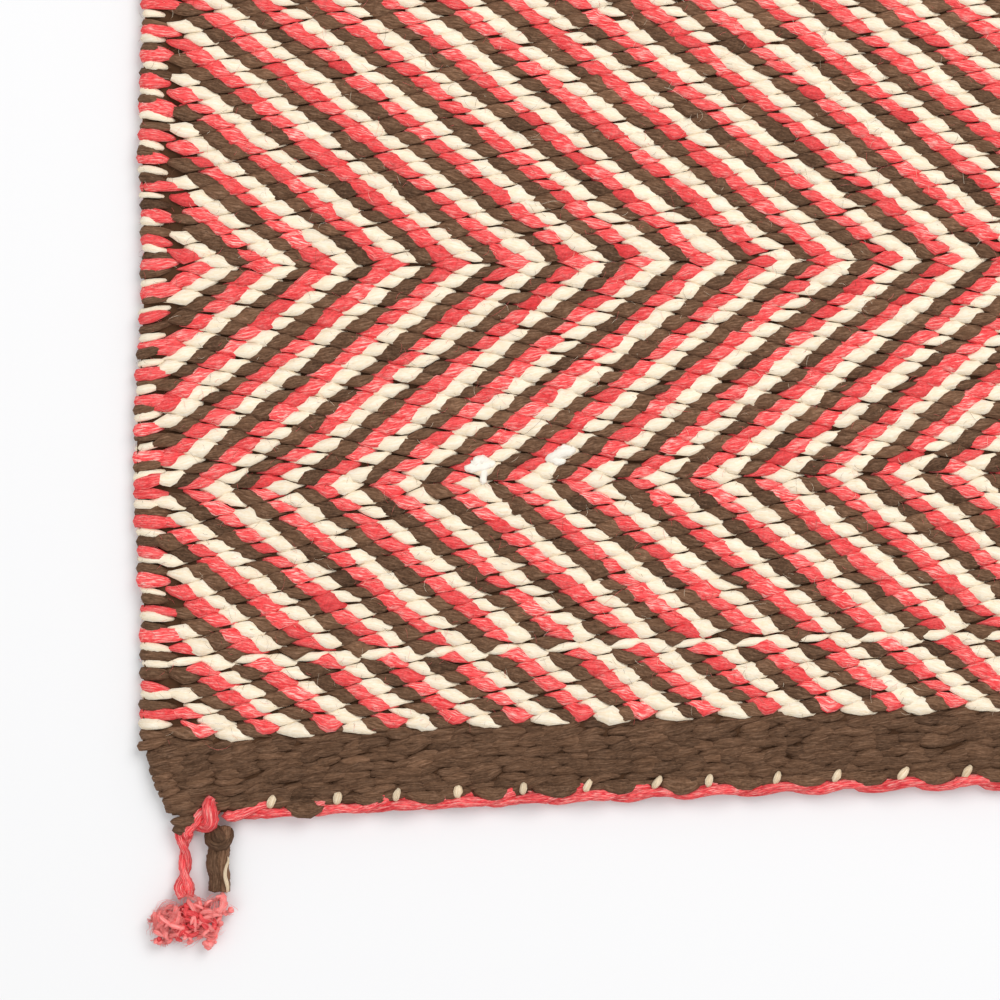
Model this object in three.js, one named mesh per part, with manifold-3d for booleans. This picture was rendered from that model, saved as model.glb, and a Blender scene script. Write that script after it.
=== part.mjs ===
// A handwoven twill saddle blanket, lying flat: one weaving with a dark band at each end, a twined
// cord along each end, a tassel at each corner and one loose yarn tail. Millimetres, +Z up.
// X runs along the wefts and Y along the warps. The front left corner is at -X, -Y.
import * as THREE from "three";
import { mergeVertices } from "three/addons/utils/BufferGeometryUtils.js";
import Module from "manifold-3d";

// Cloth
const WIDTH = 762; // between the side edges
const LENGTH = 762; // between the corners' tips, end cords included
const THICK = 6.5; // two layers of thick weft over a warp
const RIM = 1; // rounding of the cloth's rim
const EDGE_STEP = 17; // spacing of the outline's points
const END_BOW = 12.3; // each end draws in by this at mid-width
const BAND = 21; // depth of each dark end band
const BAND_STEP = 2; // the band starts this far inside the side edge
const CORNER_DRAW = 7.3; // and draws in this much further at the corner
const DRAW_CURVE = 1.6; // power of that draw
const BAND_SHARES = [0.22, 0.42, 0.65, 0.95]; // outline points along the band, from its corner
// Slow waves of the side edges
const SWAY = [
  { reach: 0.7, length: 171, turn: 0.6 },
  { reach: 0.6, length: 83, turn: 2.1 },
];
// Corner ear: the outermost warps run past the end cord
const EAR_WIDTH = 6;
const EAR_ROUND = 1.6;

// Twined end cord
const CORD_RADIUS = 2.5; // to the crown of a strand
const CORD_TWIST = 16.8; // one strand shows for every four warps
const CORD_LOBE = 0.16; // depth of the groove between strands, as a share of the radius
const CORD_STEPS_PER_TWIST = 3;
const CORD_SIDES = 6;
const CORD_LIFT = 0.4; // under the cord
const CORD_START = 22.1; // from the side line to the cord's end
const GAP = 0.3; // between neighbours
const CORD_ROOM = 2 * CORD_RADIUS + GAP; // the cloth's end stands back by this

// Corner tassel. in: from the side line towards the middle. out: past the end line.
const TASSEL_ROUTE = [
  { in: 19.3, out: -2.4, up: 3.4 },
  { in: 15.4, out: 1.9, up: 2.6 },
  { in: 12.5, out: 4.4, up: 2.2 },
  { in: 12.2, out: 8.5, up: 1.9 },
  { in: 12.2, out: 12, up: 1.9 },
  { in: 12.2, out: 16.5, up: 2.3 },
];
const TASSEL_KNOTS = [
  { in: 19.3, out: -2.4, up: 3.3, wide: 2.3, long: 3.2, high: 2.6, turn: -0.5 },
  { in: 12.6, out: 3.7, up: 2.4, wide: 2.3, long: 2.3, high: 2.3, turn: 0 },
  { in: 12.2, out: 15.3, up: 2.4, wide: 2.4, long: 3.1, high: 2.3, turn: 0 },
  { in: 12.6, out: 18.6, up: 2.6, wide: 3.6, long: 2.6, high: 2.5, turn: 0 },
];
const STEM_RADIUS = 1.6;
const STEM_LOBE = 0.12;
const STEM_TWIST = 6.4; // length of one strand's turn to the next
const STEM_STEPS = 14;
const STEM_SIDES = 6;
// Tuft: layers of three-sided locks around the last knot. fan: half the spread, in degrees.
const TUFT = { in: 12.6, out: 18.2 };
const LOCK_LAYERS = [
  { count: 7, fan: 92, reach: 13.2, rise: 0, root: 0 },
  { count: 5, fan: 78, reach: 12.4, rise: 1.2, root: 1.6 },
  { count: 3, fan: 54, reach: 10.2, rise: 2.4, root: 2.8 },
];
const LOCK_ROOT = 0.2; // share of the reach at which a lock leaves the head
const LOCK_RADIUS = 1.5;
const LOCK_TIP = 0.55; // tip's radius as a share of the root's
const LOCK_STEPS = 2;
const LOCK_UNEVEN = 0.16; // spread of the locks' lengths
const LOCK_SWING = 0.22; // sideways bend, as a share of the length
const FLOOR_ROOM = 0.06; // under the lowest locks

// Loose yarn tail at the front left corner
const TAIL_ROUTE = [
  { in: 23.4, out: 1.6, up: 2.9 },
  { in: 23.4, out: 6, up: 2.5 },
  { in: 23.8, out: 10.5, up: 2.5 },
  { in: 23.6, out: 14.2, up: 2.5 },
];
const TAIL_KNOT = { in: 23.4, out: 1.5, up: 2.9, wide: 3.3, long: 2.8, high: 2.7, turn: 0 };
const TAIL_RADIUS = 2.3;
const TAIL_LOBE = 0.1;
const TAIL_TWIST = 11;
const TAIL_STEPS = 12;

const HALF_W = WIDTH / 2;
const HALF_L = LENGTH / 2;
const FULL_TURN = 2 * Math.PI;
const SLIVER = 0.04; // joins are cleaned of edges shorter than this

const wasm = await Module();
wasm.setup();

function wool(colour, roughness = 0.95) {
  return new THREE.MeshStandardMaterial({ color: colour, roughness, metalness: 0 });
}

const TWILL_WOOL = wool(0xb4705f);
const RED_WOOL = wool(0xd8444f);
const BROWN_WOOL = wool(0x513c2b);

// The closed solid of a geometry, for joining.
function solidOf(geometry) {
  const bare = geometry.clone();
  bare.deleteAttribute("normal");
  bare.deleteAttribute("uv");
  const merged = mergeVertices(bare, 1e-4);
  return new wasm.Manifold(
    new wasm.Mesh({
      numProp: 3,
      vertProperties: merged.attributes.position.array,
      triVerts: new Uint32Array(merged.index.array),
    }),
  );
}

// Several geometries joined into one, with any closed pocket between them filled.
function fused(geometries) {
  const joint = geometries.map(solidOf).reduce((sum, solid) => sum.add(solid));
  const shells = joint.simplify(SLIVER).decompose();
  shells.sort((a, b) => b.volume() - a.volume());
  const mesh = shells[0].getMesh();
  const joined = new THREE.BufferGeometry();
  joined.setAttribute("position", new THREE.BufferAttribute(mesh.vertProperties, 3));
  joined.setIndex(new THREE.BufferAttribute(mesh.triVerts, 1));
  joined.computeVertexNormals();
  return joined;
}

function named(name, geometry, material) {
  const mesh = new THREE.Mesh(geometry, material);
  mesh.name = name;
  return mesh;
}

// A place near a corner, in the blanket's frame. side and end are -1 or 1.
function cornerPoint(place, side, end) {
  return new THREE.Vector3(side * (HALF_W - place.in), end * (HALF_L + place.out), place.up);
}

// A closed cylinder laid along a curve. radiusAt gives its radius for a share of the length and an
// angle, which is how a twist is raised on it.
function laidAlong(curve, sides, steps, radiusAt, startAngle = 0) {
  const geometry = new THREE.CylinderGeometry(1, 1, 1, sides, steps, false, startAngle);
  const frames = curve.computeFrenetFrames(steps, false);
  const points = geometry.attributes.position;
  const place = new THREE.Vector3();
  for (let i = 0; i < points.count; i++) {
    place.fromBufferAttribute(points, i);
    const step = Math.round((place.y + 0.5) * steps);
    const share = step / steps;
    const radius = radiusAt(share, Math.atan2(place.z, place.x));
    const centre = curve.getPointAt(share);
    centre.addScaledVector(frames.normals[step], place.x * radius);
    centre.addScaledVector(frames.binormals[step], -place.z * radius);
    points.setXYZ(i, centre.x, centre.y, centre.z);
  }
  return geometry;
}

// Radius of a two-strand twist at a share of its length and an angle.
function twisted(radius, lobe, strandsShown) {
  return (share, angle) => {
    const groove = Math.cos(2 * angle - FULL_TURN * strandsShown * share);
    return radius * (1 - lobe + lobe * groove);
  };
}

// Cloth

// The end line's distance from the middle, at a place across the width.
function endLine(x) {
  return HALF_L - END_BOW * (1 - (x / HALF_W) ** 2);
}

// Half the cloth's width at a row: wavy, and drawn in along the end bands.
function halfWidth(y, side) {
  const intoBand = THREE.MathUtils.clamp((Math.abs(y) - (HALF_L - BAND)) / BAND, 0, 1);
  let half = HALF_W;
  for (const wave of SWAY) {
    half += wave.reach * (1 - intoBand) * Math.sin((FULL_TURN * y) / wave.length + wave.turn * side);
  }
  return intoBand > 0 ? half - BAND_STEP - CORNER_DRAW * intoBand ** DRAW_CURVE : half;
}

// Points of an ear, from its outer side to the foot of the cord, for one corner.
function earPoints(side, end) {
  const outer = halfWidth(end * HALF_L, side);
  const inner = outer - EAR_WIDTH;
  const tip = endLine(outer);
  const profile = [
    [outer, tip - EAR_ROUND],
    [outer - EAR_ROUND, tip],
    [inner + EAR_ROUND, tip],
    [inner, tip - EAR_ROUND],
    [inner - EAR_ROUND, endLine(inner) - CORD_ROOM],
  ];
  return profile.map(([x, y]) => new THREE.Vector2(side * x, end * y));
}

// Points along one side edge, from the front to the back, closer together along the bands.
function sidePoints(side) {
  const bandRows = BAND_SHARES.map((share) => HALF_L - BAND * share);
  const rows = bandRows.map((row) => -row);
  const limit = HALF_L - BAND - EDGE_STEP / 4;
  const steps = Math.ceil((2 * limit) / EDGE_STEP);
  for (let i = 0; i <= steps; i++) {
    rows.push(-limit + (2 * limit * i) / steps);
  }
  rows.push(...bandRows.reverse());
  return rows.map((y) => new THREE.Vector2(side * halfWidth(y, side), y));
}

// Points along one end, between the ears, from left to right.
function endPoints(end) {
  const limit = HALF_W - BAND_STEP - CORNER_DRAW - EAR_WIDTH - EDGE_STEP / 2;
  const steps = Math.ceil((2 * limit) / EDGE_STEP);
  const points = [];
  for (let i = 0; i <= steps; i++) {
    const x = -limit + (2 * limit * i) / steps;
    points.push(new THREE.Vector2(x, end * (endLine(x) - CORD_ROOM)));
  }
  return points;
}

function clothOutline() {
  return [
    ...earPoints(-1, -1),
    ...endPoints(-1),
    ...earPoints(1, -1).reverse(),
    ...sidePoints(1),
    ...earPoints(1, 1),
    ...endPoints(1).reverse(),
    ...earPoints(-1, 1).reverse(),
    ...sidePoints(-1).reverse(),
  ];
}

function cloth() {
  const geometry = new THREE.ExtrudeGeometry(new THREE.Shape(clothOutline()), {
    depth: THICK - 2 * RIM,
    bevelEnabled: true,
    bevelThickness: RIM,
    bevelSize: RIM,
    bevelOffset: -RIM,
    bevelSegments: 1,
  });
  geometry.translate(0, 0, RIM);
  return named("blanket", geometry, TWILL_WOOL);
}

// End cords

// The middle line of an end cord, from left to right.
class CordLine extends THREE.Curve {
  constructor(end) {
    super();
    this.end = end;
  }

  getPoint(share, target = new THREE.Vector3()) {
    const x = (2 * share - 1) * (HALF_W - CORD_START);
    return target.set(x, this.end * (endLine(x) - CORD_RADIUS), CORD_LIFT + CORD_RADIUS);
  }
}

function endCord(name, end) {
  const line = new CordLine(end);
  const strandsShown = line.getLength() / CORD_TWIST;
  const steps = Math.round(strandsShown * CORD_STEPS_PER_TWIST);
  const radiusAt = twisted(CORD_RADIUS, CORD_LOBE, strandsShown);
  return named(name, laidAlong(line, CORD_SIDES, steps, radiusAt), RED_WOOL);
}

// Tassels and tail

function routeAlong(route, side, end) {
  return new THREE.CatmullRomCurve3(route.map((place) => cornerPoint(place, side, end)));
}

function knot(shape, side, end) {
  const geometry = new THREE.SphereGeometry(1, 8, 5);
  geometry.scale(shape.wide, shape.long, shape.high);
  geometry.rotateZ(shape.turn * side * end);
  const centre = cornerPoint(shape, side, end);
  return geometry.translate(centre.x, centre.y, centre.z);
}

// One lock of the tuft. The lowest layer keeps a flat side level with the surface.
function lock(layer, i, side, end) {
  const spread = (2 * (i + 0.5)) / layer.count - 1;
  const angle = THREE.MathUtils.degToRad(layer.fan) * spread;
  const wave = Math.sin(2.4 * i + layer.root);
  const reach = layer.reach * (1 + LOCK_UNEVEN * wave);
  const radiusAt = (share) => LOCK_RADIUS * (1 - (1 - LOCK_TIP) * share);
  const places = [0, 0.5, 1].map((share) => {
    const far = reach * (LOCK_ROOT + (1 - LOCK_ROOT) * share);
    const swing = LOCK_SWING * reach * Math.sin(Math.PI * share) * Math.sign(wave);
    const level = radiusAt(share) / 2 + FLOOR_ROOM;
    return {
      in: TUFT.in + far * Math.sin(angle) + swing * Math.cos(angle),
      out: TUFT.out + far * Math.cos(angle) - swing * Math.sin(angle),
      up: level + layer.root + layer.rise * Math.sin(2.6 * share),
    };
  });
  const flatSideDown = Math.PI / 6;
  return laidAlong(routeAlong(places, side, end), 3, LOCK_STEPS, radiusAt, flatSideDown);
}

function tassel(name, side, end) {
  const route = routeAlong(TASSEL_ROUTE, side, end);
  const stemRadius = twisted(STEM_RADIUS, STEM_LOBE, route.getLength() / STEM_TWIST);
  const pieces = [laidAlong(route, STEM_SIDES, STEM_STEPS, stemRadius)];
  for (const shape of TASSEL_KNOTS) {
    pieces.push(knot(shape, side, end));
  }
  for (const layer of LOCK_LAYERS) {
    for (let i = 0; i < layer.count; i++) {
      pieces.push(lock(layer, i, side, end));
    }
  }
  return named(name, fused(pieces), RED_WOOL);
}

function yarnTail(side, end) {
  const route = routeAlong(TAIL_ROUTE, side, end);
  const radiusAt = twisted(TAIL_RADIUS, TAIL_LOBE, route.getLength() / TAIL_TWIST);
  const strand = laidAlong(route, STEM_SIDES, TAIL_STEPS, radiusAt);
  return named("brown_tail", fused([strand, knot(TAIL_KNOT, side, end)]), BROWN_WOOL);
}

const blanket = new THREE.Group();
blanket.add(
  cloth(),
  endCord("end_cord_front", -1),
  endCord("end_cord_back", 1),
  tassel("tassel_front_left", -1, -1),
  tassel("tassel_front_right", 1, -1),
  tassel("tassel_back_left", -1, 1),
  tassel("tassel_back_right", 1, 1),
  yarnTail(-1, -1),
);

// The origin is under the middle of the whole.
const box = new THREE.Box3().setFromObject(blanket);
blanket.position.set(-(box.min.x + box.max.x) / 2, -(box.min.y + box.max.y) / 2, -box.min.z);

export default blanket;
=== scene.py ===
import math

import bpy
import numpy as np
from bpy.props import FloatProperty, FloatVectorProperty, IntProperty, PointerProperty
from bpy.types import Operator, Panel, PropertyGroup
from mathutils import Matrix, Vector


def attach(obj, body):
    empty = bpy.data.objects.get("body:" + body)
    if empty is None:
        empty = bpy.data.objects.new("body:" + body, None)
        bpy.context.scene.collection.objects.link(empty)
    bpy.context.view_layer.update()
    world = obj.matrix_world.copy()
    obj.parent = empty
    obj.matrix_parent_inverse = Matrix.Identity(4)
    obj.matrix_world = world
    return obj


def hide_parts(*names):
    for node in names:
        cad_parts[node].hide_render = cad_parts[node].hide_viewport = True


bl_info = {
    "name": "Twill Saddle Blanket",
    "version": (1, 0, 0),
    "blender": (4, 5, 0),
    "location": "View3D > Sidebar > Blanket",
    "description": "Weaves a three-colour zigzag twill saddle blanket over its packed solids",
    "category": "Object",
}

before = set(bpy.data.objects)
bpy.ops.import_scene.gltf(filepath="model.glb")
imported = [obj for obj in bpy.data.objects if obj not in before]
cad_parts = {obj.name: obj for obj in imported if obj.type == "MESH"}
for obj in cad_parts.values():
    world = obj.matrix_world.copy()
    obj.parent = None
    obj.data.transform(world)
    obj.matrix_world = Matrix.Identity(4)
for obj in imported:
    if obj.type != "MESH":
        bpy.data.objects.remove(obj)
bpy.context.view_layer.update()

# Lengths are in millimetres until a mesh is made.
MM = 0.001

# Cloth: X runs along the wefts and Y along the warps, and the front left corner is at -X, -Y.
HALF_WIDTH = 381.0
HALF_LENGTH = 381.0
WOVEN_HALF = 378.5  # middle to the first pick
END_BOW = 13.3  # how far the end rows draw in at mid-width
BOW_POWER = 3.0  # the draw fades towards the middle rows
BAND_DEPTH = 21.0
BAND_STEP = 2.0
CORNER_DRAW = 7.3
DRAW_CURVE = 1.6
SIDE_SWAY = (
    {"reach": 0.7, "length": 171.0, "turn": 0.6},
    {"reach": 0.6, "length": 83.0, "turn": 2.1},
)
GROUND_TOP = 4.1
UNDERSIDE = 0.05

# Weave: picks are counted from the front end. A pick's phase gives its shed and its colour, and the
# phase climbs in one zone and falls in the next, which turns the stripes into zigzags.
CREAM, BROWN, RED = 0, 1, 2
COLOUR_NAMES = ("cream", "brown", "red")
BAND_PICKS = 15
ZONE_PICKS = (52, 49, 68, 54, 60, 59, 60, 54, 68, 49, 52)
FIRST_PHASE = 8
EXTRA_PICK_AFTER = 15  # in the first zone: a second cream pick in the opposite shed
WARPS = 187
WARP_SPREAD = 0.0162  # warps stand wider apart towards the sides
PICK_SPREAD = 0.0705  # picks are beaten looser towards the ends
ROW_EASE = 0.6  # how far crowded wefts slide apart

EDGE_ROOM = 8.4  # the first float's middle stands this far inside the side edge
CORD_BOW = 12.3  # how far the end cords draw in at mid-width

# The reference picture: millimetres a pixel, and the pixel where the cloth's corner would be square
PICTURE_SCALE = 0.2625
PICTURE_CORNER = (136.5, 828.0)

# The part of the cloth that is woven in full detail
FINE_CORNER = (-148.0, -156.0)

TONE_LIMIT = 1.6  # a strand's own tone stays between this and its opposite

rng = np.random.default_rng(20)


# Weave layout


def bowed(x, v):
    """Y of a row that would lie straight at v, at a place across the width."""
    draw = END_BOW * np.abs(v / HALF_LENGTH) ** BOW_POWER
    return v - np.sign(v) * draw * (1.0 - (x / HALF_WIDTH) ** 2)


def half_width(v, side):
    """Half the cloth's width at a row: slow waves, drawn in along the end bands."""
    v = np.asarray(v, dtype=float)
    into_band = np.clip((np.abs(v) - (HALF_LENGTH - BAND_DEPTH)) / BAND_DEPTH, 0.0, 1.0)
    half = np.full_like(v, HALF_WIDTH)
    for wave in SIDE_SWAY:
        turn = math.tau * v / wave["length"] + wave["turn"] * side
        half += wave["reach"] * (1.0 - into_band) * np.sin(turn)
    drawn = np.where(into_band > 0.0, BAND_STEP + CORNER_DRAW * into_band**DRAW_CURVE, 0.0)
    return half - drawn


def warp_place(j):
    """X of a warp, or of the gap after it for a half number."""
    t = (2.0 * np.asarray(j, dtype=float) + 1.0) / WARPS - 1.0
    return HALF_WIDTH * (t + WARP_SPREAD * (t**3 - t))


class PickPlan:
    """Shed, colour, phase and place of every pick, with its neighbours' crowding eased."""

    def __init__(self):
        runs = [(BAND_PICKS, -1, True)]
        runs += [(count, 1 if i % 2 == 0 else -1, False) for i, count in enumerate(ZONE_PICKS)]
        runs += [(BAND_PICKS, -1, True)]
        phase = FIRST_PHASE + BAND_PICKS
        phases, slopes, bands, extras = [], [], [], []
        for run, (count, slope, band) in enumerate(runs):
            for i in range(count):
                phase += slope
                phases.append(phase)
                slopes.append(slope)
                bands.append(band)
                extras.append(False)
                if run == 1 and i == EXTRA_PICK_AFTER:
                    phases.append(phase)
                    slopes.append(slope)
                    bands.append(False)
                    extras.append(True)
        self.phase = np.array(phases)
        self.slope = np.array(slopes)
        self.band = np.array(bands)
        self.extra = np.array(extras)
        self.count = len(phases)
        self.shed = (self.phase + 2 * self.extra) % 4
        self.colour = np.where(self.band, BROWN, self.phase % 3)
        t = (2.0 * np.arange(self.count) + 1.0) / self.count - 1.0
        self.row = WOVEN_HALF * (t + PICK_SPREAD * (t**3 - t))
        self.left, self.middle, self.right = (np.array(self.row) for _ in range(3))
        self.left_room, self.middle_room, self.right_room = (np.ones(self.count) for _ in range(3))
        for shed in range(4):
            own = self.shed == shed
            self._ease(own, own, self.middle, self.middle_room)
            self._ease(own | (self.shed == (shed - 1) % 4), own, self.left, self.left_room)
            self._ease(own | (self.shed == (shed + 1) % 4), own, self.right, self.right_room)

    def _ease(self, seen, own, rows, rooms):
        """Slides the wefts seen in one column apart, and keeps the places of one shed's."""
        picks = np.nonzero(seen)[0]
        places = self.row[picks]
        size = len(picks)
        bend = np.zeros((size, size))
        for i in range(1, size - 1):
            bend[i, i - 1 : i + 2] = (1.0, -2.0, 1.0)
        eased = np.linalg.solve(np.eye(size) + ROW_EASE * bend.T @ bend, places)
        room = np.gradient(eased)
        keep = own[picks]
        rows[picks[keep]] = eased[keep]
        rooms[picks[keep]] = room[keep]


PLAN = PickPlan()


# Strands: every yarn is a closed strand laid along its own line


def deselect_all():
    bpy.ops.object.select_all(action="DESELECT")


class StrandForm:
    """A strand's faces, taken from a sphere whose poles become the strand's two ends."""

    def __init__(self, sides, steps):
        deselect_all()
        bpy.ops.mesh.primitive_uv_sphere_add(segments=sides, ring_count=steps, radius=1.0)
        ball = bpy.context.object
        mesh = ball.data
        points = np.empty(len(mesh.vertices) * 3)
        mesh.vertices.foreach_get("co", points)
        points = points.reshape(-1, 3)
        self.steps = steps
        share = 0.5 + np.arcsin(np.clip(points[:, 2], -1.0, 1.0)) / math.pi
        self.ring = np.rint(share * steps).astype(int)
        self.loop_point = np.empty(len(mesh.loops), dtype=np.int32)
        mesh.loops.foreach_get("vertex_index", self.loop_point)
        self.face_start = np.empty(len(mesh.polygons), dtype=np.int32)
        mesh.polygons.foreach_get("loop_start", self.face_start)
        uv = np.empty(len(mesh.loops) * 2)
        mesh.uv_layers.active.data.foreach_get("uv", uv)
        self.uv = uv.reshape(-1, 2)
        seam = points[self.loop_point[np.argmin(self.uv[:, 0])]]
        angle = np.arctan2(points[:, 1], points[:, 0]) - math.atan2(seam[1], seam[0])
        self.across = np.sin(angle) / np.sin(angle).max()
        self.upward = -np.cos(angle)  # the map's seam lies underneath
        self.upward[self.upward > 0] /= self.upward.max()
        bpy.data.objects.remove(ball)
        bpy.data.meshes.remove(mesh)


def unit(vectors):
    return vectors / np.maximum(np.linalg.norm(vectors, axis=-1, keepdims=True), 1e-9)


def lay_strands(name, form, lines, wide, high, tone, material, slot, across=None, rough=0.0):
    """One piece of many strands.

    lines is (strands, steps + 1, 3) in millimetres, wide and high are half sizes for each step, and
    tone is one number for each strand that its material reads. across is the direction of a strand's
    width where it isn't level, and rough is the unevenness of its surface.
    """
    count = len(lines)
    tone = np.asarray(tone, dtype=float)
    tangent = unit(np.gradient(lines, axis=1))
    if across is None:
        side = unit(np.cross(np.array([0.0, 0.0, 1.0]), tangent))
    else:
        across = np.broadcast_to(across, lines.shape)
        side = unit(across - (across * tangent).sum(axis=-1, keepdims=True) * tangent)
    up = np.cross(tangent, side)
    wide = wide.copy()
    high = high.copy()
    wide[:, [0, -1]] = 0.0
    high[:, [0, -1]] = 0.0
    ring = form.ring
    size = len(ring)
    swell = 1.0 + rough * rng.standard_normal((count, size))
    points = (
        lines[:, ring]
        + side[:, ring] * (swell * wide[:, ring] * form.across)[..., None]
        + up[:, ring] * (swell * high[:, ring] * form.upward)[..., None]
    )
    points[..., 2] = np.maximum(points[..., 2], UNDERSIDE)
    mesh = bpy.data.meshes.new(name)
    mesh.vertices.add(count * size)
    mesh.vertices.foreach_set("co", (points * MM).astype(np.float32).ravel())
    offsets = np.arange(count, dtype=np.int32)[:, None]
    loops = form.loop_point[None] + size * offsets
    mesh.loops.add(loops.size)
    mesh.loops.foreach_set("vertex_index", loops.ravel())
    starts = form.face_start[None] + len(form.loop_point) * offsets
    mesh.polygons.add(starts.size)
    mesh.polygons.foreach_set("loop_start", starts.ravel())
    mesh.update(calc_edges=True)
    mesh.polygons.foreach_set("use_smooth", np.ones(starts.size, dtype=bool))
    tones = mesh.attributes.new("tone", "FLOAT", "POINT")
    tones.data.foreach_set("value", np.repeat(tone, size).astype(np.float32))
    lengths = np.linalg.norm(np.diff(lines, axis=1), axis=2).sum(axis=1)
    yarn = np.empty((count, len(form.uv), 2), dtype=np.float32)
    yarn[..., 0] = form.uv[:, 1] * lengths[:, None] + 40.0 * np.modf(tone * 7.31)[0][:, None]
    yarn[..., 1] = form.uv[:, 0]
    mesh.uv_layers.new(name="YarnUV").data.foreach_set("uv", yarn.ravel())
    grid = math.ceil(math.sqrt(count))
    cell = np.stack([np.arange(count) % grid, np.arange(count) // grid], axis=-1)
    atlas = (cell[:, None] + 0.04 + 0.92 * form.uv[None]) / grid
    mesh.uv_layers.new(name="OFBake").data.foreach_set("uv", atlas.astype(np.float32).ravel())
    mesh.materials.append(material)
    mesh.validate()
    piece = bpy.data.objects.new(name, mesh)
    bpy.context.scene.collection.objects.link(piece)
    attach(piece, "root")
    return piece


def through(values, places):
    """Smooth curves through evenly shared stations from -1 to 1, given as (..., stations)."""
    stations = np.linspace(-1.0, 1.0, values.shape[-1])
    degree = values.shape[-1]
    weights = np.vander(places, degree) @ np.linalg.inv(np.vander(stations, degree))
    return values @ weights.T


# Materials


def node(tree, kind, place, **settings):
    made = tree.nodes.new(kind)
    made.location = place
    for key, value in settings.items():
        setattr(made, key, value)
    return made


def math_node(tree, operation, first, second, place):
    """A Math node whose inputs are sockets or numbers."""
    made = node(tree, "ShaderNodeMath", place, operation=operation)
    for socket, value in zip(made.inputs, (first, second)):
        if isinstance(value, (int, float)):
            socket.default_value = value
        elif value is not None:
            tree.links.new(value, socket)
    return made.outputs[0]


def mix_node(tree, blend, factor, first, second, place):
    """A colour Mix node whose inputs are sockets, numbers or colours."""
    made = node(tree, "ShaderNodeMix", place, data_type="RGBA", blend_type=blend)
    for socket, value in ((made.inputs[0], factor), (made.inputs[6], first), (made.inputs[7], second)):
        if isinstance(value, bpy.types.NodeSocket):
            tree.links.new(value, socket)
        else:
            socket.default_value = value
    return made.outputs[2]


def linear(colour):
    """A display colour in the linear values that shaders take."""
    low = [c / 12.92 if c <= 0.04045 else ((c + 0.055) / 1.055) ** 2.4 for c in colour]
    return (*low, 1.0)


def fibre_group():
    """Shader group: fibre streaks that wind along a yarn, and its slower changes of tone."""
    name = "Wool Fibres"
    if name in bpy.data.node_groups:
        return bpy.data.node_groups[name]
    tree = bpy.data.node_groups.new(name, "ShaderNodeTree")
    interface = tree.interface
    for label, kind, default in (
        ("Yarn", "NodeSocketVector", None),
        ("Tone", "NodeSocketFloat", 0.0),
        ("Twist", "NodeSocketFloat", 1.4),
        ("Fineness", "NodeSocketFloat", 22.0),
    ):
        socket = interface.new_socket(label, in_out="INPUT", socket_type=kind)
        if default is not None:
            socket.default_value = default
    for label in ("Streak", "Pale Fibre", "Slub", "Grain", "Height"):
        interface.new_socket(label, in_out="OUTPUT", socket_type="NodeSocketFloat")
    entry = node(tree, "NodeGroupInput", (-900, 0))
    out = node(tree, "NodeGroupOutput", (700, 0))
    split = node(tree, "ShaderNodeSeparateXYZ", (-700, 100))
    tree.links.new(entry.outputs["Yarn"], split.inputs[0])
    wound = math_node(tree, "MULTIPLY", split.outputs[1], entry.outputs["Twist"], (-520, -60))
    fine = math_node(tree, "MULTIPLY", split.outputs[1], entry.outputs["Fineness"], (-520, -220))
    seed = math_node(tree, "MULTIPLY", entry.outputs["Tone"], 37.0, (-520, -380))

    def noise(per_mm, across, detail, place):
        length = math_node(tree, "MULTIPLY", split.outputs[0], per_mm, (place[0] - 480, place[1]))
        sheared = math_node(tree, "ADD", length, wound, (place[0] - 320, place[1]))
        spread = math_node(tree, "MULTIPLY", fine, across, (place[0] - 320, place[1] - 140))
        joined = node(tree, "ShaderNodeCombineXYZ", (place[0] - 160, place[1]))
        for socket, value in zip(joined.inputs, (sheared, spread, seed)):
            tree.links.new(value, socket)
        made = node(tree, "ShaderNodeTexNoise", place)
        made.inputs["Scale"].default_value = 1.0
        made.inputs["Detail"].default_value = detail
        made.inputs["Roughness"].default_value = 0.62
        tree.links.new(joined.outputs[0], made.inputs["Vector"])
        return made.outputs["Fac"]

    streak = noise(0.42, 1.0, 3.0, (200, 300))
    pale = noise(0.38, 1.7, 3.0, (200, 0))
    slub = noise(0.16, 0.12, 1.0, (200, -300))
    grain = noise(1.5, 0.75, 4.0, (200, -600))
    ramp = node(tree, "ShaderNodeMapRange", (400, 300), clamp=True)
    ramp.inputs["From Min"].default_value = 0.34
    ramp.inputs["From Max"].default_value = 0.66
    tree.links.new(streak, ramp.inputs["Value"])
    sharp = node(tree, "ShaderNodeMapRange", (400, 0), clamp=True, interpolation_type="SMOOTHSTEP")
    sharp.inputs["From Min"].default_value = 0.46
    sharp.inputs["From Max"].default_value = 0.72
    tree.links.new(pale, sharp.inputs["Value"])
    raised = math_node(tree, "ADD", streak, grain, (400, -160))
    tree.links.new(grain, out.inputs["Grain"])
    tree.links.new(ramp.outputs[0], out.inputs["Streak"])
    tree.links.new(sharp.outputs[0], out.inputs["Pale Fibre"])
    tree.links.new(slub, out.inputs["Slub"])
    tree.links.new(raised, out.inputs["Height"])
    return tree


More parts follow.
